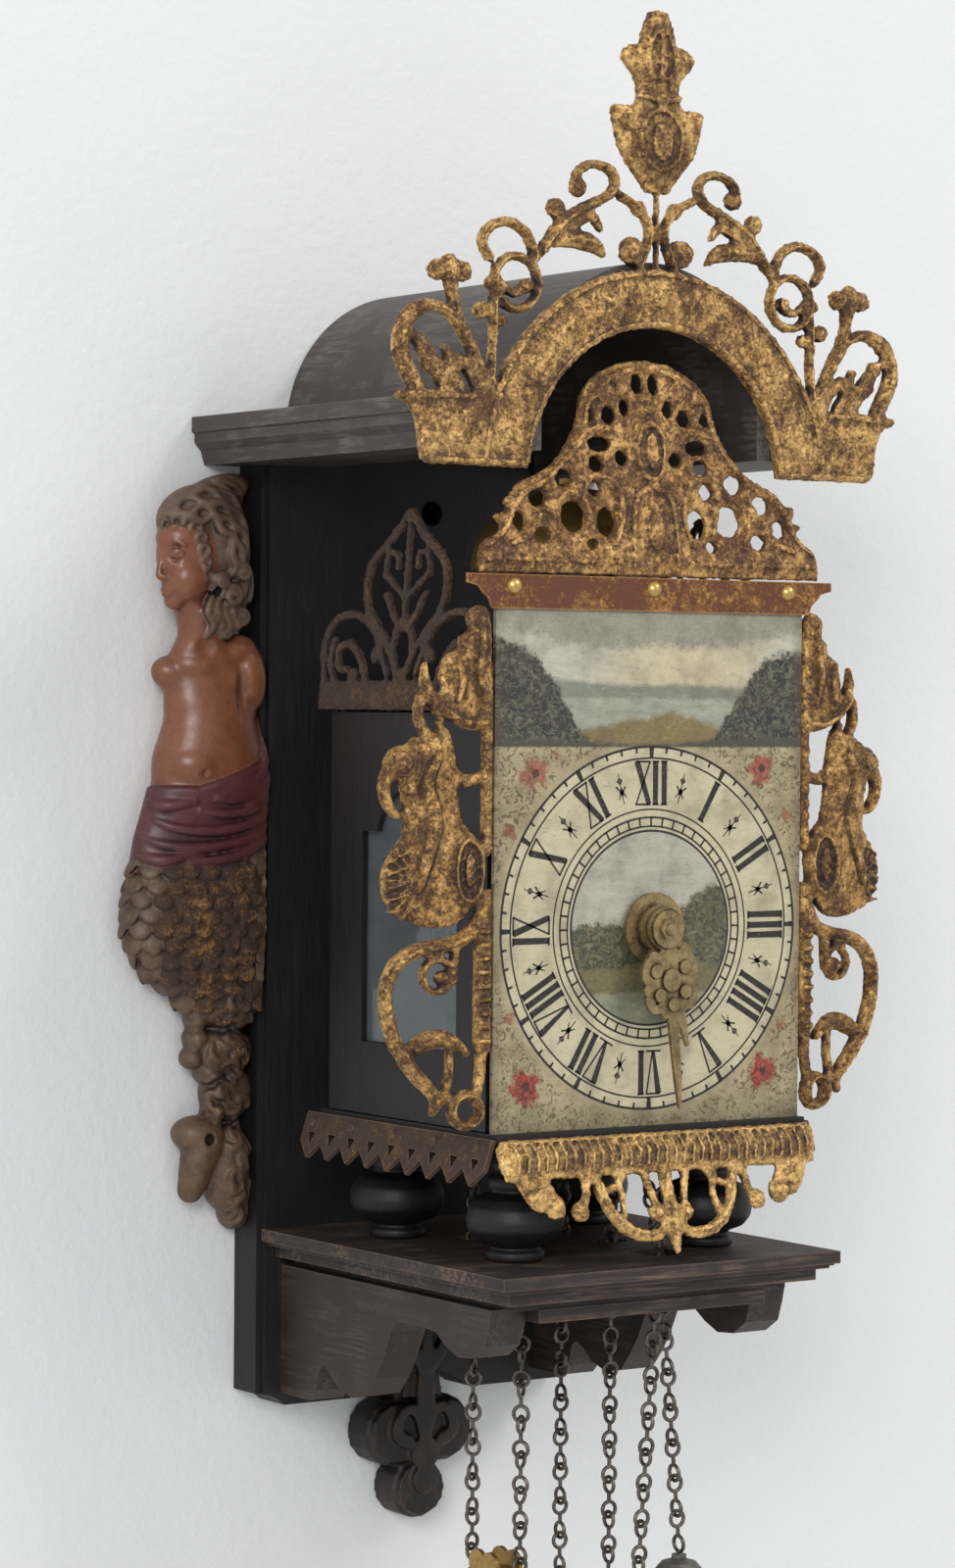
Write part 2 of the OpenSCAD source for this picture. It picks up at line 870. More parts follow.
module palmette_flat() {
    difference() {
        union() {
            both() {
                ribbon([[3, 12, 4], [11, 25, 4.5], [20, 34, 4.5], [29, 42, 4.5], [33, 52, 5],
                    [30, 64, 5], [19, 72, 5], [9, 79, 5], [1, 88, 3]]);
                ribbon([[12, 14, 4], [23, 32, 4], [36, 40, 4.5], [49, 41, 4.5], [60, 37, 5],
                    [66, 27, 5], [65, 13, 5]]);
                ribbon([[1, 48.4, 3.4], [10, 54, 3.6], [18, 60, 3.6], [16, 68, 3.6], [9, 68, 3.4],
                    [8, 62, 3.4]]);
                ribbon([[30, 12, 4], [36, 22, 4.5], [46, 28, 4.5], [54, 24, 4], [52, 16, 4],
                    [46, 16, 4]]);
                ribbon([[2, 34, 4], [9, 40, 4], [16, 50, 4]]);
                ribbon([[56, 10, 4], [60, 20, 4], [58, 30, 4]]);
                dot(22, 22, 4);
                dot(40, 13, 4);
            }
            difference() {
                oval(0, 26, 10, 14);
                oval(0, 25, 6, 9);
            }
            ribbon([[0, 38, 4], [0, 60, 3.4], [0, 84, 3]]);
            translate([-68, -3])
                square([136, 14]);
        }
        translate([-70, -20])
            square([140, 17]);
    }
}

palmette_half = 68.6;
side_top_y = side_fret_t + (top_fret_t + 1) * sin(side_sweep) + fit + palmette_half;

module side_top_fret(side) {
    translate([side * (case_half + 0.2 + case_top * tan(side_lean)), side_top_y, 0])
        rotate([0, -side * side_lean, 0])
            translate([side > 0 ? 0 : -top_fret_t, 0, 0])
                rotate([90, 0, 90])
                    linear_extrude(top_fret_t)
                        joined()
                            palmette_flat();
}

module side_top_fret_left() {
    color(dark_gilt)
        placed()
            side_top_fret(-1);
}

module side_top_fret_right() {
    color(dark_gilt)
        placed()
            side_top_fret(1);
}

module side_fret_flat() {
    difference() {
        union() {
            outline([[1, -4], [1, 20], [2, 40], [8, 44], [14, 39], [12, 33], [17, 30], [17, 25],
                [23, 22], [26, 15], [27, 2], [20, -4]]);
            ribbon([[2, -6, 7], [10, -8, 7], [20, -4, 7], [28, 0, 7], [33, 10, 5],
                [33, 18, 2]]);
            ribbon([[35, 3, 5], [36, -6, 5], [31, -14, 5], [25, -13, 4], [26, -8, 4]]);
            ribbon([[3, 0, 5], [3, -30, 5], [3, -64, 5]]);
            ribbon([[4, -31, 5], [14, -33, 6], [22, -28, 6]]);
            dot(44, -26, 8.6);
            outline([[22, -10], [30, -12], [38, -14], [44, -20], [46, -30], [44, -40],
                [43, -52], [44, -64], [46, -78], [43, -92], [32, -97], [18, -96], [8, -86],
                [4, -72], [6, -60], [14, -52], [17, -40], [18, -24]]);
            ribbon([[48, -26, 7], [52, -34, 6], [51, -42, 5], [46, -48, 4], [41, -46, 3]]);
            outline([[42, -58], [48, -63], [53, -72], [53, -82], [49, -89], [42, -94],
                [38, -80]]);
            ribbon([[6, -92, 7], [12, -101, 7], [24, -105, 7], [36, -107, 7], [46, -113, 7],
                [50.5, -124, 7], [49, -138, 7], [44, -150, 7], [36, -161, 7], [28, -169, 6],
                [26, -176, 4]]);
            difference() {
                dot(26, -118, 9);
                dot(26, -118, 5.4);
            }
            ribbon([[18, -104, 4], [18, -112, 4], [18.5, -120, 4]]);
            dot(24, -119, 3.6);
            ribbon([[42, -152, 6], [30, -146, 9], [20, -146, 7], [12, -152, 4]]);
            translate([0.5, -152])
                square([8, 72]);
            ribbon([[5, -148, 6], [5, -160, 5], [7, -170, 5]]);
            ribbon([[20, -150, 4], [20, -160, 4], [22, -168, 5]]);
            difference() {
                dot(12, -177, 9.4);
                dot(12, -177, 4.2);
            }
            ribbon([[20, -172, 5], [25, -172, 6], [28, -178, 3]]);
        }
        oval(12, -19, 5, 7.5);
        oval(46, -39, 1.8, 3);
        oval(8.4, -45, 3.2, 7);
        translate([-20, -200])
            square([20.4, 260]);
    }
}

module side_fret_ridges() {
    ribbon([[6, 2, 3], [9, 14, 4], [7, 28, 3.6], [8, 38, 3]]);
    ribbon([[19, 2, 3], [17, 12, 4], [20, 20, 3]]);
    ribbon([[4, -7, 3], [14, -8, 3.6], [24, -3, 3.6], [31, 4, 2.6]]);
    dot(45, -25, 4.6);
    ribbon([[28, -22, 4], [34, -34, 6], [30, -50, 7], [34, -66, 6], [38, -80, 4]]);
    difference() {
        oval(13, -72, 8, 15);
        oval(13, -72, 5.4, 12);
    }
    oval(13, -72, 3, 8);
    for (i = [0 : 4])
        polygon([[42, -63 - 6 * i], [47, -65 - 6 * i], [51.5, -68.4 - 5 * i],
            [51.5, -70 - 5 * i], [47, -67 - 6 * i], [42, -65 - 6 * i]]);
    ribbon([[12, -101, 3], [24, -105, 3], [36, -107, 3], [46, -113, 3], [50.5, -124, 3],
        [49, -138, 3], [44, -150, 3], [36, -161, 3], [28, -169, 2.4]]);
    for (i = [0 : 8])
        translate([1.4, -148 + 6 * i])
            square([6.4, 2.6]);
    ribbon([[38, -150, 3], [28, -147, 4], [18, -148, 2.4]]);
    dot(24, -119, 2.4);
    difference() {
        dot(12, -177, 8);
        dot(12, -177, 5.6);
    }
}

module side_fret(side) {
    mirror([side < 0 ? 1 : 0, 0, 0])
        translate([case_half + 0.4, 0, 0])
            rotate([0, 0, side_sweep]) {
                upright(0, side_fret_t)
                    joined()
                        side_fret_flat();
                upright(-1.6, 1.6)
                    joined()
                        side_fret_ridges();
            }
}

module side_fret_left() {
    color(gilt)
        placed()
            side_fret(-1);
}

module side_fret_right() {
    color(gilt)
        placed()
            side_fret(1);
}

module front_skirt_flat() {
    translate([-86, 0])
        square([172, 19]);
    both() {
        outline([[80, 0.5], [87, 2], [88, 9], [86, 16], [80, 20], [74, 16]]);
        ribbon([[78, 17, 6], [75, 25, 6], [70, 31, 5]]);
        dot(71, 26, 6);
        dot(62, 31, 6);
        dot(49, 34, 5);
        ribbon([[68, 16, 5], [63, 24, 5], [60, 31, 5]]);
        ribbon([[44, 17, 5], [44, 26, 5], [48, 34, 5]]);
        ribbon([[38, 18, 5], [36, 28, 6], [31, 38, 6], [23, 45, 6], [12, 47, 6], [4, 44, 5]]);
        ribbon([[28, 17, 4], [25, 28, 4], [27, 40, 4]]);
        ribbon([[12, 17, 4.5], [9, 28, 4.5], [7, 38, 4.5]]);
        dot(8, 37, 4.6);
        ribbon([[22, 18, 4], [28, 24, 4], [36, 26, 4]]);
    }
    ribbon([[0, 18, 7], [0, 34, 8], [0, 46, 8], [0, 55, 3]]);
}

module front_skirt_ridges() {
    for (i = [-16 : 16])
        translate([i * 5, 4])
            polygon([[-1, 0], [1, 0], [2.7, 5], [1, 12], [-1, 12], [0.1, 5]]);
    translate([-84, 0.8])
        square([168, 2]);
    both() {
        ribbon([[36, 22, 2.4], [35, 30, 3], [30, 38, 3], [22, 44, 3], [12, 46, 2.4]]);
        dot(62, 31, 3.6);
        dot(70, 26, 3.4);
        dot(49, 34, 3);
        dot(8, 37, 2.6);
    }
    ribbon([[0, 20, 3], [0, 34, 4], [0, 50, 3]]);
}

module front_skirt() {
    color(gilt)
        placed()
            translate([0, -7 + skirt_t, skirt_z])
                rotate([-skirt_flare, 0, 0])
                    rotate([90, 0, 0])
                        mirror([0, 1, 0]) {
                            linear_extrude(skirt_t)
                                joined()
                                    front_skirt_flat();
                            translate([0, 0, skirt_t])
                                linear_extrude(1.4)
                                    joined()
                                        front_skirt_ridges();
                        }
}

tooth_start = -7 + skirt_t + fit + 0.1;
tooth_pitch = 16.9;
tooth_count = 9;

module side_skirt_flat() {
    for (i = [0 : tooth_count - 1]) {
        x = tooth_start + tooth_pitch * i;
        difference() {
            polygon([[x, 0], [x + tooth_pitch + 0.01, 0], [x + tooth_pitch + 0.01, 14],
                [x + tooth_pitch / 2, 21.5], [x, 14]]);
            polygon([[x + 5.4, 9.5], [x + tooth_pitch - 5.4, 9.5], [x + tooth_pitch / 2, 15.5]]);
        }
    }
}

module side_skirt(side) {
    mirror([side < 0 ? 1 : 0, 0, 0])
        translate([case_half + 0.9, 0, skirt_z])
            rotate([0, -skirt_flare, 0]) {
                rotate([90, 0, 90])
                    mirror([0, 1, 0])
                        linear_extrude(skirt_t)
                            joined()
                                side_skirt_flat();
                for (i = [0 : 2 : tooth_count - 1])
                    translate([skirt_t, tooth_start + tooth_pitch * (i + 0.5), -5])
                        rotate([0, 90, 0])
                            cylinder(r1 = 3.4, r2 = 1.6, h = 2, $fn = 24);
            }
}

module side_skirt_left() {
    color(gilt)
        placed()
            side_skirt(-1);
}

module side_skirt_right() {
    color(gilt)
        placed()
            side_skirt(1);
}

// Side door: panel with an arched window, its pane let in from behind.
window_front = 29;
window_rear = 107;
window_bottom = -154.5;
window_step = -58;
window_top = -38;

module window_outline() {
    step = 12;
    half = (window_rear - window_front) / 2 - step;
    mid = (window_rear + window_front) / 2;
    rise = window_top - window_step;
    arc_r = (half * half + rise * rise) / (2 * rise);
    translate([window_front, window_bottom])
        square([window_rear - window_front, window_step - window_bottom]);
    intersection() {
        translate([mid, window_top - arc_r])
            circle(r = arc_r, $fn = 72);
        translate([mid - half, window_step - 1])
            square([2 * half, rise + 2]);
    }
}

door_bottom = base_z + 0.6;
door_top = top_z - 1;

module door_panel(side) {
    difference() {
        union() {
            translate([side > 0 ? case_half - door_t : -case_half, door_front, door_bottom])
                cube([door_t, hinge_y - door_front, door_top - door_bottom]);
            translate([side * hinge_x, hinge_y, door_bottom])
                cylinder(r = door_t / 2, h = door_top - door_bottom);
        }
        translate([side > 0 ? case_half - door_t - 1 : -case_half - 1, 0, 0])
            rotate([90, 0, 90])
                linear_extrude(door_t + 2)
                    window_outline();
        translate([side > 0 ? case_half - door_t - 1 : -case_half + door_t - 3, 0, 0])
            rotate([90, 0, 90])
                linear_extrude(4)
                    offset(delta = 4)
                        window_outline();
    }
    translate([side * hinge_x, hinge_y, door_bottom - 4])
        cylinder(r = pin_r, h = 4, $fn = 32);
    translate([side * hinge_x, hinge_y, door_top])
        cylinder(r = pin_r, h = 5, $fn = 32);
}

module side_door_left() {
    color(black_wood)
        placed()
            door_panel(-1);
}

module side_door_right() {
    color(black_wood)
        placed()
            door_panel(1);
}

module door_glass(side) {
    translate([side > 0 ? case_half - door_t + 1 : -case_half + door_t - 1 - glass_t, 0, 0])
        rotate([90, 0, 90])
            linear_extrude(glass_t)
                offset(delta = 3.8)
                    window_outline();
}

module door_glass_left() {
    color(pane)
        placed()
            door_glass(-1);
}

module door_glass_right() {
    color(pane)
        placed()
            door_glass(1);
}

// Toothed wheel on the Y axis. The teeth are cut as flat sided leaves.
module gear_flat(teeth, module_size, add, ded, tooth_share) {
    pitch_r = module_size * teeth / 2;
    tip_r = pitch_r + add * module_size;
    root_r = pitch_r - ded * module_size;
    half = 180 / teeth * tooth_share;
    polygon([for (i = [0 : teeth - 1], k = [[-1.25, root_r], [-0.5, tip_r], [0.5, tip_r],
        [1.25, root_r]]) let (a = 360 / teeth * i + half * k[0]) k[1] * [cos(a), sin(a)]]);
}

module wheel_flat(teeth, module_size, spokes, bore, rim = 3.2) {
    rim_r = module_size * (teeth / 2 - 1.2) - rim;
    difference() {
        gear_flat(teeth, module_size, 0.8, 1.2, 0.5);
        if (spokes > 0)
            difference() {
                circle(r = rim_r);
                circle(r = 7);
                for (a = [0 : spokes - 1])
                    rotate(a * 360 / spokes + 45)
                        translate([0, -2.2])
                            square([rim_r + 1, 4.4]);
            }
        circle(r = bore, $fn = 32);
    }
}

module on_y(x, y, z, h, turn = 0) {
    translate([x, y + h, z])
        rotate([90, 0, 0])
            rotate([0, 0, turn])
                linear_extrude(h)
                    children();
}

module rod_y(x, y, z, h, r) {
    translate([x, y, z])
        rotate([-90, 0, 0])
            cylinder(r = r, h = h, $fn = 32);
}

train_m = 1.05;
great_teeth = 64;
second_teeth = 48;
pinion_leaves = 8;
second_z = great_z + train_m * (great_teeth + pinion_leaves) / 2;
contrate_z = second_z + train_m * (second_teeth + pinion_leaves) / 2;
great_wheel_y = going_y - 14;
second_wheel_y = 30;
contrate_y = 36;
escape_y = contrate_y + 8.4;
bore_fit = 0.02;

module pinion_flat(leaves, module_size) {
    gear_flat(leaves, module_size, 0.7, 1.3, 0.48);
}

// Grooved chain wheel: the upright eyes run in the groove, the level ones on the rims.
module chain_wheel(apothem, width, holes, bore) {
    r_mid = apothem - eye_r - wire_r - 0.6;
    r_flange = apothem - wire_r - 0.35;
    difference() {
        rotate_extrude($fn = 60)
            polygon([[bore, -width / 2], [r_flange, -width / 2], [r_flange, -2.4],
                [r_mid, -1.4], [r_mid, 1.4], [r_flange, 2.4], [r_flange, width / 2],
                [bore, width / 2]]);
        for (i = [0 : holes - 1])
            rotate((i + 0.5) * 360 / holes)
                translate([r_mid - 4, 0, -width])
                    cylinder(r = 1.8, h = 2 * width, $fn = 24);
    }
}

sprocket_w = 9.6;

module sprocket(y) {
    translate([0, y, great_z])
        rotate([90, 0, 0])
            chain_wheel(sprocket_apothem, sprocket_w, 10, arbor_r + bore_fit);
}

module going_sprocket() {
    color(brass)
        placed()
            sprocket(going_y);
}

module great_gear() {
    color(brass)
        placed()
            on_y(0, great_wheel_y, great_z, 3)
                wheel_flat(great_teeth, train_m, 4, arbor_r + bore_fit);
}

motion_y = 5;
motion_m = 2 * (dial_z - great_z) / 64;
hour_m = 2 * (dial_z - great_z) / 78;

module great_arbor() {
    color(iron)
        placed() {
            rod_y(0, motion_y + 0.3, great_z, middle_bar_y - 0.6 - motion_y, arbor_r);
            rod_y(0, middle_bar_y - 0.3, great_z, 3, pivot_r);
            on_y(0, motion_y - 2.6, great_z, 3, 90)
                pinion_flat(6, hour_m);
        }
}

module motion_driver() {
    color(brass)
        placed()
            on_y(0, motion_y + 3.4, great_z, 2)
                wheel_flat(32, motion_m, 0, arbor_r + bore_fit);
}

stud_r = 2.6;
minute_pipe_r = 4.2;
hour_pipe_r = 6.4;

module stud() {
    color(iron)
        placed()
            rod_y(0, -16.2, dial_z, front_bar_y + 16.2, stud_r);
}

module minute_wheel() {
    color(brass)
        placed()
            difference() {
                union() {
                    on_y(0, motion_y + 3.4, dial_z, 2, 180 / 32)
                        wheel_flat(32, motion_m, 0, stud_r + pivot_fit);
                    rod_y(0, -12.7, dial_z, 12.7 + motion_y + 3.4, minute_pipe_r);
                }
                rod_y(0, -20, dial_z, 60, stud_r + pivot_fit);
            }
}

module hour_wheel() {
    color(brass)
        placed()
            difference() {
                union() {
                    on_y(0, motion_y - 2, dial_z, 2, 180 / 72)
                        wheel_flat(72, hour_m, 4, minute_pipe_r + pivot_fit);
                    rod_y(0, -9.4, dial_z, 9.4 + motion_y - 2, hour_pipe_r);
                }
                rod_y(0, -20, dial_z, 60, minute_pipe_r + pivot_fit);
            }
}

module second_gear() {
    color(brass)
        placed() {
            on_y(0, second_wheel_y, second_z, 2.4)
                wheel_flat(second_teeth, train_m, 4, 1.9 + bore_fit);
            on_y(0, great_wheel_y - 3, second_z, 9, 180 / pinion_leaves)
                difference() {
                    pinion_flat(pinion_leaves, train_m);
                    circle(r = 1.9 + bore_fit, $fn = 32);
                }
        }
}

module second_arbor() {
    color(iron)
        placed() {
            rod_y(0, front_bar_y + bar_t + 0.3, second_z,
                middle_bar_y - front_bar_y - bar_t - 0.6, 1.9);
            rod_y(0, front_bar_y + 3, second_z, bar_t, pivot_r);
            rod_y(0, middle_bar_y - 0.4, second_z, 3, pivot_r);
        }
}

contrate_teeth = 48;
contrate_r = 22;

module contrate_gear() {
    color(brass)
        placed() {
            on_y(0, contrate_y, contrate_z, 2)
                difference() {
                    circle(r = contrate_r);
                    difference() {
                        circle(r = contrate_r - 4);
                        circle(r = 6);
                        for (a = [45 : 90 : 359])
                            rotate(a)
                                translate([0, -2])
                                    square([contrate_r, 4]);
                    }
                    circle(r = 1.9 + bore_fit, $fn = 32);
                }
            on_y(0, contrate_y + 2, contrate_z, 3.4)
                difference() {
                    circle(r = contrate_r);
                    circle(r = contrate_r - 1.6);
                    for (i = [0 : contrate_teeth - 1])
                        rotate(i * 360 / contrate_teeth)
                            translate([contrate_r - 4, -0.85])
                                square([8, 1.7]);
                }
            on_y(0, second_wheel_y - 2, contrate_z, 6.4, 180 / pinion_leaves)
                difference() {
                    pinion_flat(pinion_leaves, train_m);
                    circle(r = 1.9 + bore_fit, $fn = 32);
                }
        }
}

module contrate_arbor() {
    color(iron)
        placed() {
            rod_y(0, front_bar_y + bar_t + 0.3, contrate_z,
                middle_bar_y - front_bar_y - bar_t - 0.6, 1.9);
            rod_y(0, front_bar_y + 1, contrate_z, bar_t, pivot_r);
            rod_y(0, middle_bar_y - 0.4, contrate_z, 4, pivot_r);
        }
}

// Escapement: crown wheel on an upright arbor, verge and pendulum.
escape_top = case_top + 17.6;
escape_teeth = 15;
escape_r = 15;
escape_arbor_r = 1.9;
verge_z = escape_top + 4;
verge_r = 1.5;

module crown_gear() {
    color(brass)
        placed()
            translate([0, escape_y, 0]) {
                translate([0, 0, escape_top - 10])
                    linear_extrude(2)
                        difference() {
                            circle(r = escape_r);
                            circle(r = escape_arbor_r + bore_fit, $fn = 32);
                        }
                difference() {
                    translate([0, 0, escape_top - 8])
                        linear_extrude(8)
                            difference() {
                                circle(r = escape_r);
                                circle(r = escape_r - 1.6);
                            }
                    for (i = [0 : escape_teeth - 1])
                        rotate([0, 0, 96 + i * 360 / escape_teeth])
                            translate([escape_r - 4, 0, escape_top])
                                rotate([90, 0, 90])
                                    linear_extrude(8)
                                        polygon([[0.3, 1], [0.5, -5], [2.6, -5], [6, 0.2], [6, 1]]);
                }
            }
}

module escape_arbor() {
    color(iron)
        placed()
            translate([0, escape_y, 0]) {
                translate([0, 0, contrate_z + 16.3])
                    cylinder(r = escape_arbor_r, h = escape_top - 7 - contrate_z - 16.3, $fn = 32);
                translate([0, 0, contrate_z + 13.4])
                    cylinder(r = pivot_r, h = 3, $fn = 32);
                translate([0, 0, contrate_z + contrate_r - 3.4])
                    linear_extrude(5.4)
                        gear_flat(pinion_leaves, 0.917, 0.6, 0.9, 0.5);
            }
}

module potence() {
    color(iron)
        placed()
            difference() {
                translate([-5, escape_y - 2.2, contrate_z + 12.4])
                    cube([10, middle_bar_y - escape_y + 2.2, 3.6]);
                translate([0, escape_y, contrate_z + 10])
                    cylinder(r = pivot_r + pivot_fit, h = 10, $fn = 32);
            }
}

verge_front = escape_y - 24;
verge_back = case_depth - 8;
pendulum_y = case_depth + 11;
pallet_arm = 5.2;

module verge_cocks() {
    color(iron)
        placed()
            for (y = [verge_front, verge_back])
                difference() {
                    translate([-5, y, case_top])
                        cube([10, 4, verge_z - case_top + 5]);
                    translate([0, y - 1, verge_z])
                        rotate([-90, 0, 0])
                            cylinder(r = verge_r + pivot_fit, h = 6, $fn = 32);
                }
}

module verge_arbor() {
    color(iron)
        placed() {
            rod_y(0, verge_front - 1, verge_z, pendulum_y - verge_front + 5, verge_r);
            for (s = [-1, 1])
                translate([0, escape_y + s * (escape_r - 0.8) - 2, verge_z])
                    rotate([0, -s * 46 + 180, 0])
                        translate([-0.4, 0, 0.6])
                            cube([0.8, 4, pallet_arm - 0.6]);
        }
}

pendulum_len = 172;

module pendulum() {
    color(brass)
        placed() {
            difference() {
                translate([0, pendulum_y, verge_z - pendulum_len])
                    cylinder(r = 1.3, h = pendulum_len + 4, $fn = 24);
                rod_y(0, pendulum_y - 10, verge_z, 20, verge_r + bore_fit);
            }
            difference() {
                rod_y(0, pendulum_y - 2.4, verge_z, 4.8, 4.4);
                rod_y(0, pendulum_y - 10, verge_z, 20, verge_r + bore_fit);
            }
            translate([0, pendulum_y, verge_z - pendulum_len])
                rotate([90, 0, 0])
                    rotate_extrude($fn = 48)
                        intersection() {
                            translate([0, -30])
                                circle(r = 34.5, $fn = 72);
                            translate([0, 30])
                                circle(r = 34.5, $fn = 72);
                            translate([0, -10])
                                square([15, 20]);
                        }
        }
}

// Strike train.
lock_z = second_z;
fly_m = 0.8;
fly_z = lock_z + fly_m * (second_teeth + pinion_leaves) / 2;
strike_wheel_y = strike_y - 11;
lock_wheel_y = strike_y + 9;
lifting_pins = 8;
lifting_r = 25;
pin_d = 2.4;

// Ring of lifting pins or of the holes they are driven into.
module lifting_ring(r) {
    for (i = [0 : lifting_pins - 1])
        rotate((i + 0.5) * 360 / lifting_pins)
            translate([lifting_r, 0])
                circle(r = r, $fn = 32);
}

module strike_gear() {
    color(brass)
        placed() {
            on_y(0, strike_wheel_y, great_z, 3)
                difference() {
                    wheel_flat(great_teeth, train_m, 4, arbor_r + bore_fit,
                        train_m * (great_teeth / 2 - 1.2) - lifting_r + pin_d / 2 + 1);
                    lifting_ring(pin_d / 2 + bore_fit);
                }
            on_y(0, strike_wheel_y - 3, great_z, 6)
                lifting_ring(pin_d / 2);
        }
}

module strike_sprocket() {
    color(brass)
        placed()
            sprocket(strike_y);
}

count_m = 1;
count_teeth = 52;
count_z = great_z + count_m * (count_teeth + pinion_leaves) / 2;
count_y = rear_bar_y + bar_t + 1;

module strike_arbor() {
    color(iron)
        placed() {
            rod_y(0, middle_bar_y + bar_t + 0.3, great_z,
                count_y + 2.6 - middle_bar_y - bar_t - 0.3, arbor_r);
            rod_y(0, middle_bar_y + bar_t - 2, great_z, 3, pivot_r - 0.1);
            on_y(0, count_y, great_z, 2.6, 90)
                pinion_flat(pinion_leaves, count_m);
        }
}

module count_wheel() {
    color(brass)
        placed() {
            on_y(0, count_y, count_z, 2.6, 90 + 180 / count_teeth)
                wheel_flat(count_teeth, count_m, 4, stud_r + pivot_fit);
            on_y(0, count_y + 2.6, count_z, 1.8)
                difference() {
                    circle(r = 29.4, $fn = 72);
                    circle(r = 24);
                    for (i = [1 : 12])
                        rotate(360 * i * (i + 1) / 2 / 78)
                            translate([26, -1.2])
                                square([6, 2.4]);
                }
        }
}

module count_stud() {
    color(iron)
        placed()
            rod_y(0, rear_bar_y + bar_t, count_z, 6.2, stud_r);
}

module lock_gear() {
    color(brass)
        placed() {
            on_y(0, lock_wheel_y, lock_z, 2)
                wheel_flat(second_teeth, fly_m, 4, 1.9 + bore_fit);
            on_y(0, strike_wheel_y - 1.4, lock_z, 6, 180 / pinion_leaves)
                difference() {
                    pinion_flat(pinion_leaves, train_m);
                    circle(r = 1.9 + bore_fit, $fn = 32);
                }
        }
}

module lock_arbor() {
    color(iron)
        placed() {
            rod_y(0, middle_bar_y + bar_t + 0.3, lock_z,
                rear_bar_y - middle_bar_y - bar_t - 0.6, 1.9);
            rod_y(0, middle_bar_y + bar_t - 2, lock_z, 3, pivot_r);
            rod_y(0, rear_bar_y - 0.4, lock_z, 3, pivot_r);
        }
}

module fly() {
    color(iron)
        placed() {
            rod_y(0, middle_bar_y + bar_t + 0.3, fly_z,
                rear_bar_y - middle_bar_y - bar_t - 0.6, 1.5);
            rod_y(0, middle_bar_y + bar_t - 2, fly_z, 3, pivot_r);
            rod_y(0, rear_bar_y - 0.4, fly_z, 3, pivot_r);
            on_y(0, lock_wheel_y - 1.5, fly_z, 5, 180 / pinion_leaves)
                gear_flat(pinion_leaves, fly_m, 0.7, 1.2, 0.5);
            translate([-16, strike_wheel_y + 1, fly_z - 0.5])
                cube([32, 14, 1]);
        }
}

// Hammer of the strike on its own cocks, bell and bell stand.
hammer_x = 46;
hammer_z = -118;
hammer_y = strike_y - 7;
bell_y = 68;
bell_z = 62;
bell_r = 44;
bell_wall = 2.4;
lever_x = -44;
lever_z = -100;

module hammer_cocks() {
    color(iron)
        placed()
            for (y = [middle_bar_y + 1.5, rear_bar_y + 1.5])
                difference() {
                    union() {
                        translate([bar_w / 2, y, hammer_z - 5])
                            cube([hammer_x + 5 - bar_w / 2, 3, 10]);
                        translate([lever_x - 5, y, lever_z - 5])
                            cube([-lever_x + 5 - bar_w / 2, 3, 10]);
                    }
                    rod_y(hammer_x, y - 1, hammer_z, 5, pivot_r + pivot_fit);
                    rod_y(lever_x, y - 1, lever_z, 5, pivot_r + pivot_fit);
                }
}

module hammer() {
    color(iron)
        placed() {
            rod_y(hammer_x, middle_bar_y + 4.8, hammer_z, rear_bar_y - middle_bar_y - 3.6, 2.2);
            for (y = [middle_bar_y + 2, rear_bar_y + 1])
                rod_y(hammer_x, y, hammer_z, 3, pivot_r);
            translate([hammer_x, hammer_y, hammer_z])
                cylinder(r = 1.8, h = bell_z + 6 - hammer_z, $fn = 24);
            translate([hammer_x - 5.6, hammer_y, bell_z + 6])
                rotate([0, 90, 0])
                    cylinder(r = 5, h = 12, $fn = 32);
            translate([0, strike_wheel_y - 0.4, 0])
                rotate([90, 0, 0])
                    linear_extrude(2.6)
                        polygon([[hammer_x + 1, hammer_z + 2], [hammer_x + 1, hammer_z - 2],
                            [27, -127], [22.4, -127], [22.4, -124.6], [30, -121]]);
        }
}

module bell_cup() {
    color(brass)
        placed()
            translate([0, bell_y, bell_z])
                rotate_extrude($fn = 72)
                    difference() {
                        intersection() {
                            scale([1, 0.84])
                                circle(r = bell_r, $fn = 96);
                            square([bell_r, bell_r]);
                        }
                        scale([1, 0.84])
                            circle(r = bell_r - bell_wall, $fn = 96);
                        square([2.2, bell_r + 5]);
                    }
}

module bell_stand() {
    stand_top = bell_z + bell_r * 0.84;
    color(iron)
        placed() {
            translate([22, 112, case_top])
                cylinder(r = 3, h = stand_top + 1 - case_top, $fn = 32);
            translate([0, 0, stand_top + 0.1])
                linear_extrude(3)
                    polygon([[-4, bell_y - 4], [4, bell_y - 4], [27, 111], [25, 117], [18, 116],
                        [17, 111], [-3, bell_y + 5]]);
            translate([0, bell_y, stand_top - 6])
                cylinder(r = 2, h = 12, $fn = 24);
            translate([0, bell_y, stand_top + 3.1])
                cylinder(r = 4, h = 2.6, $fn = 6);
        }
}

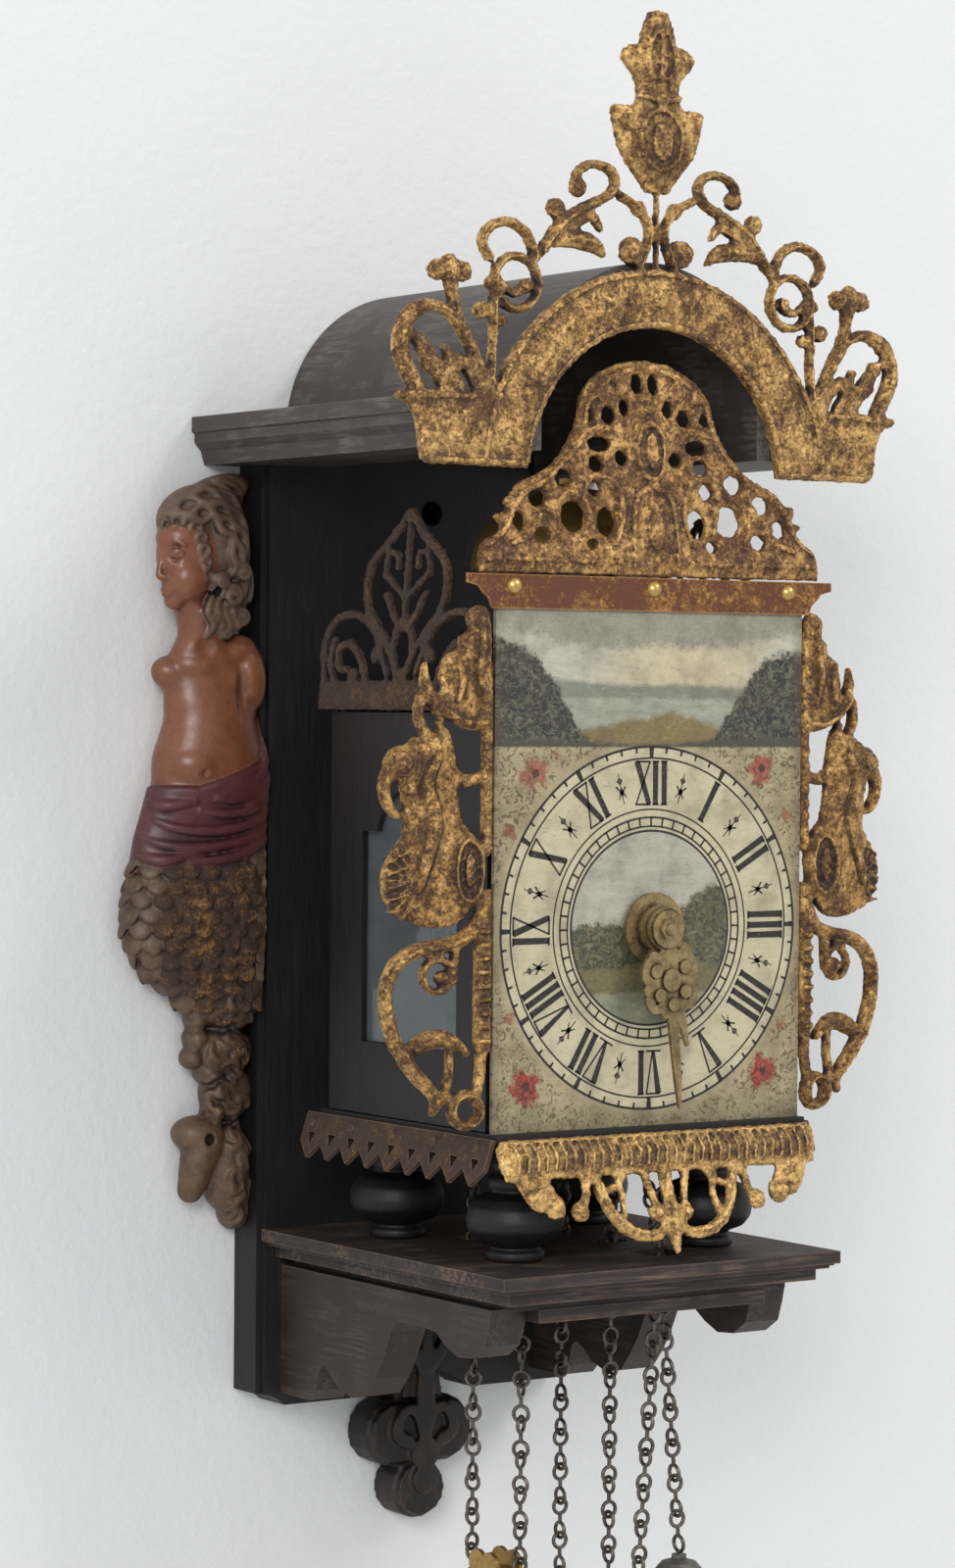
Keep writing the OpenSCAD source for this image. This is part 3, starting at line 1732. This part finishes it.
// Lifting lever: an arbor beside the bars with an arm to the front and a blade
// that hangs over the count wheel.
module lifting_lever() {
    color(iron)
        placed() {
            rod_y(lever_x, middle_bar_y + 4.8, lever_z, rear_bar_y - middle_bar_y - 3.6, 2.2);
            rod_y(lever_x, 8, lever_z, middle_bar_y - 6.8, 2.2);
            rod_y(lever_x, middle_bar_y, lever_z, 6, pivot_r);
            rod_y(lever_x, rear_bar_y + 0.8, lever_z, 11, pivot_r);
            on_y(lever_x, count_y + 2.6, lever_z, 1.8)
                polygon([[-3, -3], [3, -3.4], [14.4, -5.6], [14.4, -2], [3, 3], [-3, 3]]);
            on_y(lever_x, 8.2, lever_z, 2.4)
                polygon([[-3, -3], [3, -3], [20, 1], [20, 4], [3, 3], [-3, 3]]);
        }
}

// Alarm: bracket on the base plate, chain wheel with crown wheel, upright verge
// whose hammer stands beside the bell.
alarm_sprocket_y = 24;
alarm_z = -168;
alarm_side = 15.1;
alarm_apothem = alarm_side / 2 / tan(30);
alarm_joint_r = alarm_side / 2 / sin(30);
alarm_verge_x = 58;
alarm_wheel_x = 42;

module alarm_bracket() {
    color(iron)
        placed()
            difference() {
                union() {
                    for (x = [28, 37])
                        translate([x, alarm_sprocket_y - 6, base_z])
                            cube([2.4, 12, alarm_z - base_z + 6]);
                    translate([28, alarm_sprocket_y - 6, base_z])
                        cube([11.4, 12, 2]);
                }
                translate([20, alarm_sprocket_y, alarm_z])
                    rotate([0, 90, 0])
                        cylinder(r = 1.8 + pivot_fit, h = 50, $fn = 32);
            }
}

module alarm_gear() {
    color(brass)
        placed() {
            translate([alarm_x, alarm_sprocket_y, alarm_z])
                rotate([0, 90, 0])
                    chain_wheel(alarm_apothem, sprocket_w, 0, 1.8 + bore_fit);
            translate([alarm_wheel_x, alarm_sprocket_y, alarm_z])
                rotate([0, 90, 0]) {
                    linear_extrude(1.6)
                        difference() {
                            circle(r = 12);
                            circle(r = 1.8 + bore_fit, $fn = 32);
                        }
                    difference() {
                        cylinder(r = 12, h = 6);
                        translate([0, 0, -1])
                            cylinder(r = 10.6, h = 8);
                        for (i = [0 : 11])
                            rotate(i * 30 + 15)
                                translate([8, -1.6, 3])
                                    cube([6, 3.2, 4]);
                    }
                }
        }
}

module alarm_arbor() {
    color(iron)
        placed()
            translate([alarm_x - 6, alarm_sprocket_y, alarm_z])
                rotate([0, 90, 0])
                    cylinder(r = 1.8, h = 36, $fn = 32);
}

module alarm_hammer() {
    color(iron)
        placed() {
            translate([alarm_verge_x, alarm_sprocket_y, base_z - 3.4])
                cylinder(r = 1.5, h = bell_z - base_z + 12.4, $fn = 32);
            for (s = [-1, 1])
                translate([alarm_verge_x, alarm_sprocket_y, alarm_z + s * 10.4 - 1.6])
                    rotate(180 + s * 40)
                        translate([0, -0.5, 0])
                            cube([11.5, 1, 3.2]);
            translate([alarm_verge_x, alarm_sprocket_y, bell_z + 6])
                rotate(143)
                    rotate([0, 90, 0])
                        cylinder(r = 1.4, h = 20, $fn = 20);
            translate([alarm_verge_x + 19 * cos(143), alarm_sprocket_y + 19 * sin(143), bell_z + 6])
                sphere(r = 4, $fn = 32);
        }
}

// Hands, drawn pointing to twelve and turned clockwise.
module hand_turned(turn) {
    translate([0, 0, dial_z])
        rotate([0, turn, 0])
            children();
}

module cast_scrolls(reach) {
    both() {
        ribbon([[0, 8, 5], [5, 13, 5], [11, 14, 4.6], [13, 20, 4.6], [9, 24, 4.4], [5, 20, 4]]);
        ribbon([[3, 20, 5], [8, 27, 5], [12, 30, 4.6], [10, 35, 4], [5, 34, 4]]);
        ribbon([[2, 30, 5], [6, reach - 4, 4], [4, reach + 1, 4]]);
        dot(12, 26, 3);
        dot(8, 12, 3);
    }
    ribbon([[0, 6, 7], [0, 20, 10], [0, reach, 6]]);
}

module minute_hand() {
    color(brass)
        placed()
            hand_turned(minute_turn) {
                upright(-12.8, 1.8)
                    difference() {
                        joined() {
                            circle(r = 9.6);
                            cast_scrolls(37);
                            polygon([[-3, 36], [3, 36], [1.6, minute_len - 12],
                                [0.6, minute_len], [-0.6, minute_len],
                                [-1.6, minute_len - 12]]);
                        }
                        circle(r = minute_pipe_r + bore_fit, $fn = 48);
                    }
                upright(-14, 1.2)
                    difference() {
                        joined() {
                            dot(0, 23, 5);
                            both()
                                dot(8, 18, 3);
                            both()
                                dot(7, 29, 3);
                            dot(0, 34, 3);
                            circle(r = 8.4);
                        }
                        circle(r = stud_r + pivot_fit, $fn = 48);
                    }
            }
}

module hour_hand() {
    color(brass)
        placed()
            hand_turned(hour_turn)
                upright(-9.6, 2)
                    difference() {
                        joined() {
                            circle(r = 10.6);
                            translate([0, -1])
                                scale(0.84)
                                    cast_scrolls(32);
                            polygon([[-3.4, 26], [3.4, 26], [2, hour_len - 10],
                                [0.5, hour_len], [-0.5, hour_len], [-2, hour_len - 10]]);
                        }
                        circle(r = hour_pipe_r + bore_fit, $fn = 48);
                    }
}

module alarm_disc() {
    color(brass)
        placed() {
            on_y(0, -4, dial_z, 2)
                difference() {
                    circle(r = 16, $fn = 60);
                    circle(r = hour_pipe_r + pivot_fit, $fn = 48);
                }
            on_y(0, -6.8, dial_z, 2.8)
                difference() {
                    circle(r = 10);
                    circle(r = hour_pipe_r + pivot_fit, $fn = 48);
                }
        }
}

module hand_nut() {
    color(brass)
        placed()
            difference() {
                translate([0, -14.4, dial_z])
                    rotate([90, 0, 0])
                        cylinder(r = 5.2, h = 1.4, $fn = 6);
                rod_y(0, -20, dial_z, 10, stud_r + bore_fit);
            }
}

// Chains: each link is one wire with an eye at both ends, the lower eye turned by
// a quarter.
module link_solid(flip) {
    reach = link_pitch / 2 - eye_gap;
    rotate([0, 0, flip ? 90 : 0]) {
        translate([0, 0, reach])
            rotate([90, 0, 0])
                rotate_extrude($fn = 24)
                    translate([eye_r, 0])
                        circle(r = wire_r, $fn = 14);
        translate([0, 0, -reach])
            rotate([0, 90, 0])
                rotate_extrude($fn = 24)
                    translate([eye_r, 0])
                        circle(r = wire_r, $fn = 14);
        translate([0, 0, -reach + eye_r])
            cylinder(r = wire_r * 1.05, h = 2 * (reach - eye_r), $fn = 14);
    }
}

// Links from joint to joint. The axis that is held stays level: x or y.
module links(joints, held = [0, 1, 0], flip = false, twist = 0) {
    n = len(joints) - 1;
    for (i = [0 : n - 1]) {
        u = (joints[i] - joints[i + 1]) / norm(joints[i] - joints[i + 1]);
        by_y = held[1] == 1;
        ax = by_y ? cross(held, u) / norm(cross(held, u)) : held;
        ay = cross(u, ax) / norm(cross(u, ax));
        m = (joints[i] + joints[i + 1]) / 2;
        multmatrix([[ax[0], ay[0], u[0], m[0]], [ax[1], ay[1], u[1], m[1]],
            [ax[2], ay[2], u[2], m[2]], [0, 0, 0, 1]])
            rotate([0, 0, twist * sin(180 * (i + 0.5) / n)])
                link_solid(flip);
    }
}

function strand(x, y, top, n) = [for (i = [0 : n]) [x, y, top - i * link_pitch]];
strand_top = great_z - link_pitch / 2;

module drive_top_chain() {
    color(iron)
        placed() {
            links([for (k = [0 : 6]) [sprocket_joint_r * cos(-18 + 36 * k), going_y,
                great_z + sprocket_joint_r * sin(-18 + 36 * k)]]);
            links([for (k = [0 : 6]) [-sprocket_joint_r * cos(-18 + 36 * k), strike_y,
                great_z + sprocket_joint_r * sin(-18 + 36 * k)]]);
        }
}

module drive_chain(side, z, n, twist) {
    x = side * sprocket_apothem;
    first = side < 0 ? going_y : strike_y;
    last = side < 0 ? strike_y : going_y;
    links(strand(x, first, strand_top, n), flip = false, twist = twist);
    links(strand(x, last, strand_top, n), flip = true, twist = twist);
    links([for (k = [0 : 5]) [x, pulley_y - sign(last - first) * pulley_joint_r
        * cos(22.5 - 45 * k), z + pulley_joint_r * sin(22.5 - 45 * k)]], held = [1, 0, 0]);
}

module main_chain() {
    color(iron)
        placed()
            drive_chain(-1, main_z, main_links, 40);
}

module counter_chain() {
    color(iron)
        placed()
            drive_chain(1, counter_z, counter_links, 0);
}

alarm_links = 13;
counter_alarm_links = 15;

// Alarm strand from the chain wheel to the shelf and on to its weight.
function alarm_strand(y, knee, foot, n) =
    let (a = [alarm_x, y, alarm_z - alarm_side / 2], m = 5)
    concat([for (i = [0 : m]) a + (knee - a) / norm(knee - a) * link_pitch * i],
        [for (i = [1 : n - m]) a + (knee - a) / norm(knee - a) * link_pitch * m
            + (foot - knee) / norm(foot - knee) * link_pitch * i]);
alarm_front = alarm_strand(alarm_sprocket_y - alarm_apothem, [14.5, 12, -262], [6, 14, -404],
    counter_alarm_links);
alarm_rear = alarm_strand(alarm_sprocket_y + alarm_apothem, [24, 20, -262], [33, 16, -396],
    alarm_links);

module alarm_top_chain() {
    color(iron)
        placed()
            links([for (k = [0 : 4]) [alarm_x, alarm_sprocket_y - alarm_joint_r
                * cos(-30 + 60 * k), alarm_z + alarm_joint_r * sin(-30 + 60 * k)]],
                held = [1, 0, 0]);
}

module alarm_chain() {
    color(iron)
        placed()
            links(alarm_rear, flip = false, twist = 0);
}

module alarm_counter_chain() {
    color(iron)
        placed()
            links(alarm_front, flip = true, twist = 0);
}

// Pulley with its two cheeks and a block that carries the hook.
cheek_t = 2;
cheek_x = sprocket_w / 2 + fit + 0.2;
axle_r = 2;
block_drop = pulley_apothem + eye_r + wire_r + 1.4;

module pulley(x, z) {
    translate([x, pulley_y, z])
        rotate([0, 90, 0])
            chain_wheel(pulley_apothem, sprocket_w, 6, axle_r + pivot_fit);
}

module pulley_bracket(x, z) {
    translate([x, pulley_y, z]) {
        for (s = [-1, 1])
            translate([s * (cheek_x + cheek_t / 2) - cheek_t / 2, 0, 0])
                rotate([90, 0, 90])
                    linear_extrude(cheek_t)
                        joined() {
                            translate([-5, -block_drop - 5])
                                square([10, block_drop + 21]);
                            circle(r = 7.5);
                            for (k = [-1, 1])
                                translate([k * 5, 20])
                                    circle(r = 6.4, $fn = 32);
                        }
        translate([-cheek_x, -5, -block_drop - 5])
            cube([2 * cheek_x, 10, 4]);
        rotate([0, 90, 0])
            translate([0, 0, -cheek_x])
                cylinder(r = axle_r, h = 2 * cheek_x, $fn = 32);
        translate([0, 0, -block_drop - 11])
            cylinder(r = 2.4, h = 7, $fn = 24);
    }
}

module main_pulley() {
    color(brass)
        placed()
            pulley(-sprocket_apothem, main_z);
}

module main_bracket() {
    color(brass)
        placed()
            pulley_bracket(-sprocket_apothem, main_z);
}

module counter_pulley() {
    color(brass)
        placed()
            pulley(sprocket_apothem, counter_z);
}

module counter_bracket() {
    color(brass)
        placed()
            pulley_bracket(sprocket_apothem, counter_z);
}

module hanging_weight(x, y, top, r, h) {
    translate([x, y, top - h])
        rotate_extrude($fn = 60)
            polygon([[0, 0], [r - 3, 0], [r, 3], [r, h - 8], [r - 4, h - 3.4], [3.4, h - 2],
                [3.4, h], [0, h]]);
}

module main_lead() {
    color(lead)
        placed()
            hanging_weight(-sprocket_apothem, pulley_y, main_z - block_drop - 11, 25, 118);
}

module counter_lead() {
    color(lead)
        placed()
            hanging_weight(sprocket_apothem, pulley_y, counter_z - block_drop - 11, 15, 26);
}

module alarm_weight() {
    p = alarm_rear[len(alarm_rear) - 1];
    color(lead)
        placed()
            hanging_weight(p[0], p[1], p[2] - 2.1 - fit, 12, 62);
}

module alarm_counter() {
    p = alarm_front[len(alarm_front) - 1];
    color(lead)
        placed()
            hanging_weight(p[0], p[1], p[2] - 2.1 - fit, 8, 34);
}

// Carved figure: level sections from the wall forwards, given as height, outer
// edge, and depth in front of the wall.
figure_sections = [
    [107, 116, 8], [103, 128, 18], [96, 139, 25], [88, 146, 29], [80, 149, 31], [75, 150.5, 31],
    [69, 147.5, 31], [58, 147, 30], [50, 143, 28], [44, 139, 26], [37, 134, 23], [30, 137, 24],
    [20, 142, 26], [10, 148, 28], [3, 143, 26], [-5, 140, 25], [-18, 144, 25], [-30, 147, 26],
    [-45, 150, 27], [-60, 156, 28], [-75, 158, 28], [-88, 161, 29], [-100, 163, 29],
    [-112, 162, 28], [-121, 159, 27], [-131, 151, 26], [-140, 139, 24], [-147, 127, 22],
    [-152, 121, 20], [-165, 127, 21], [-175, 120, 19], [-185, 118, 18], [-195, 124, 19],
    [-203, 133, 20], [-211, 128, 19], [-222, 131, 19], [-235, 127, 18], [-241, 112, 16],
    [-248, 101, 12]];

module figure() {
    arc = 10;
    inner = board_half + 0.1;
    wall = wall_y - 0.2;
    rings = len(figure_sections);
    points = [for (s = figure_sections, k = [0 : arc])
        let (mid = (inner + s[1]) / 2, half = (s[1] - inner) / 2, a = 180 * k / arc)
        [mid - half * cos(a), wall - s[2] * pow(max(sin(a), 0), 0.7), s[0]]];
    w = arc + 1;
    polyhedron(points = points, faces = concat(
        [[for (k = [arc : -1 : 0]) k]],
        [[for (k = [0 : arc]) (rings - 1) * w + k]],
        [for (r = [0 : rings - 2], k = [0 : arc]) let (j = (k + 1) % w)
            [r * w + k, r * w + j, (r + 1) * w + j]],
        [for (r = [0 : rings - 2], k = [0 : arc]) let (j = (k + 1) % w)
            [r * w + k, (r + 1) * w + j, (r + 1) * w + k]]));
}

module mermaid_left() {
    color(flesh)
        placed()
            mirror([1, 0, 0])
                figure();
}

module mermaid_right() {
    color(flesh)
        placed()
            figure();
}

// Pieces that share a sub-part.
module carved_pendant() {
    pendant_drop_leaves();
    pendant_leaves();
}

module roof_ledges() {
    roof_left();
    roof_right();
}

module crest_leaves() {
    crest_leaves_left();
    crest_leaves_right();
    crest_finial();
}

module shelf_board() {
    shelf_plank();
    shelf_front_moulding();
}

module aprons() {
    apron_left();
    apron_right();
}

module case_frame() {
    corner_posts();
    rear_panel();
    front_bar();
    middle_bar();
    rear_bar();
    count_stud();
}

module side_skirts() {
    side_skirt_left();
    side_skirt_right();
}

module centre_stud() {
    stud();
    hand_nut();
}

module cocks() {
    potence();
    verge_cocks();
    hammer_cocks();
    alarm_bracket();
}

module bell() {
    bell_cup();
    bell_stand();
}

module great_wheel() {
    great_gear();
    great_arbor();
    going_sprocket();
    motion_driver();
}

module second_wheel() {
    second_gear();
    second_arbor();
}

module contrate_wheel() {
    contrate_gear();
    contrate_arbor();
}

module crown_wheel() {
    crown_gear();
    escape_arbor();
}

module verge() {
    verge_arbor();
    pendulum();
}

module strike_wheel() {
    strike_gear();
    strike_arbor();
    strike_sprocket();
}

module lock_wheel() {
    lock_gear();
    lock_arbor();
}

module alarm_wheel() {
    alarm_gear();
    alarm_arbor();
}

module sprocket_chain() {
    drive_top_chain();
    alarm_top_chain();
}

module main_weight() {
    main_bracket();
    main_lead();
}

module counter_weight() {
    counter_bracket();
    counter_lead();
}

back_board();
carved_pendant();
mermaid_left();
mermaid_right();
roof_ledges();
roof_vault();
crest_arch();
crest_leaves();
shelf_board();
aprons();
bun_feet();
base_plate();
top_plate();
case_frame();
dial_plate();
head_strip();
strip_nails();
front_top_fret();
side_top_fret_left();
side_top_fret_right();
side_fret_left();
side_fret_right();
front_skirt();
side_skirts();
side_door_left();
side_door_right();
door_glass_left();
door_glass_right();
centre_stud();
cocks();
bell();
great_wheel();
minute_wheel();
hour_wheel();
minute_hand();
hour_hand();
alarm_disc();
second_wheel();
contrate_wheel();
crown_wheel();
verge();
strike_wheel();
count_wheel();
lock_wheel();
fly();
hammer();
lifting_lever();
alarm_wheel();
alarm_hammer();
sprocket_chain();
main_chain();
counter_chain();
alarm_chain();
alarm_counter_chain();
main_pulley();
main_weight();
counter_pulley();
counter_weight();
alarm_weight();
alarm_counter();
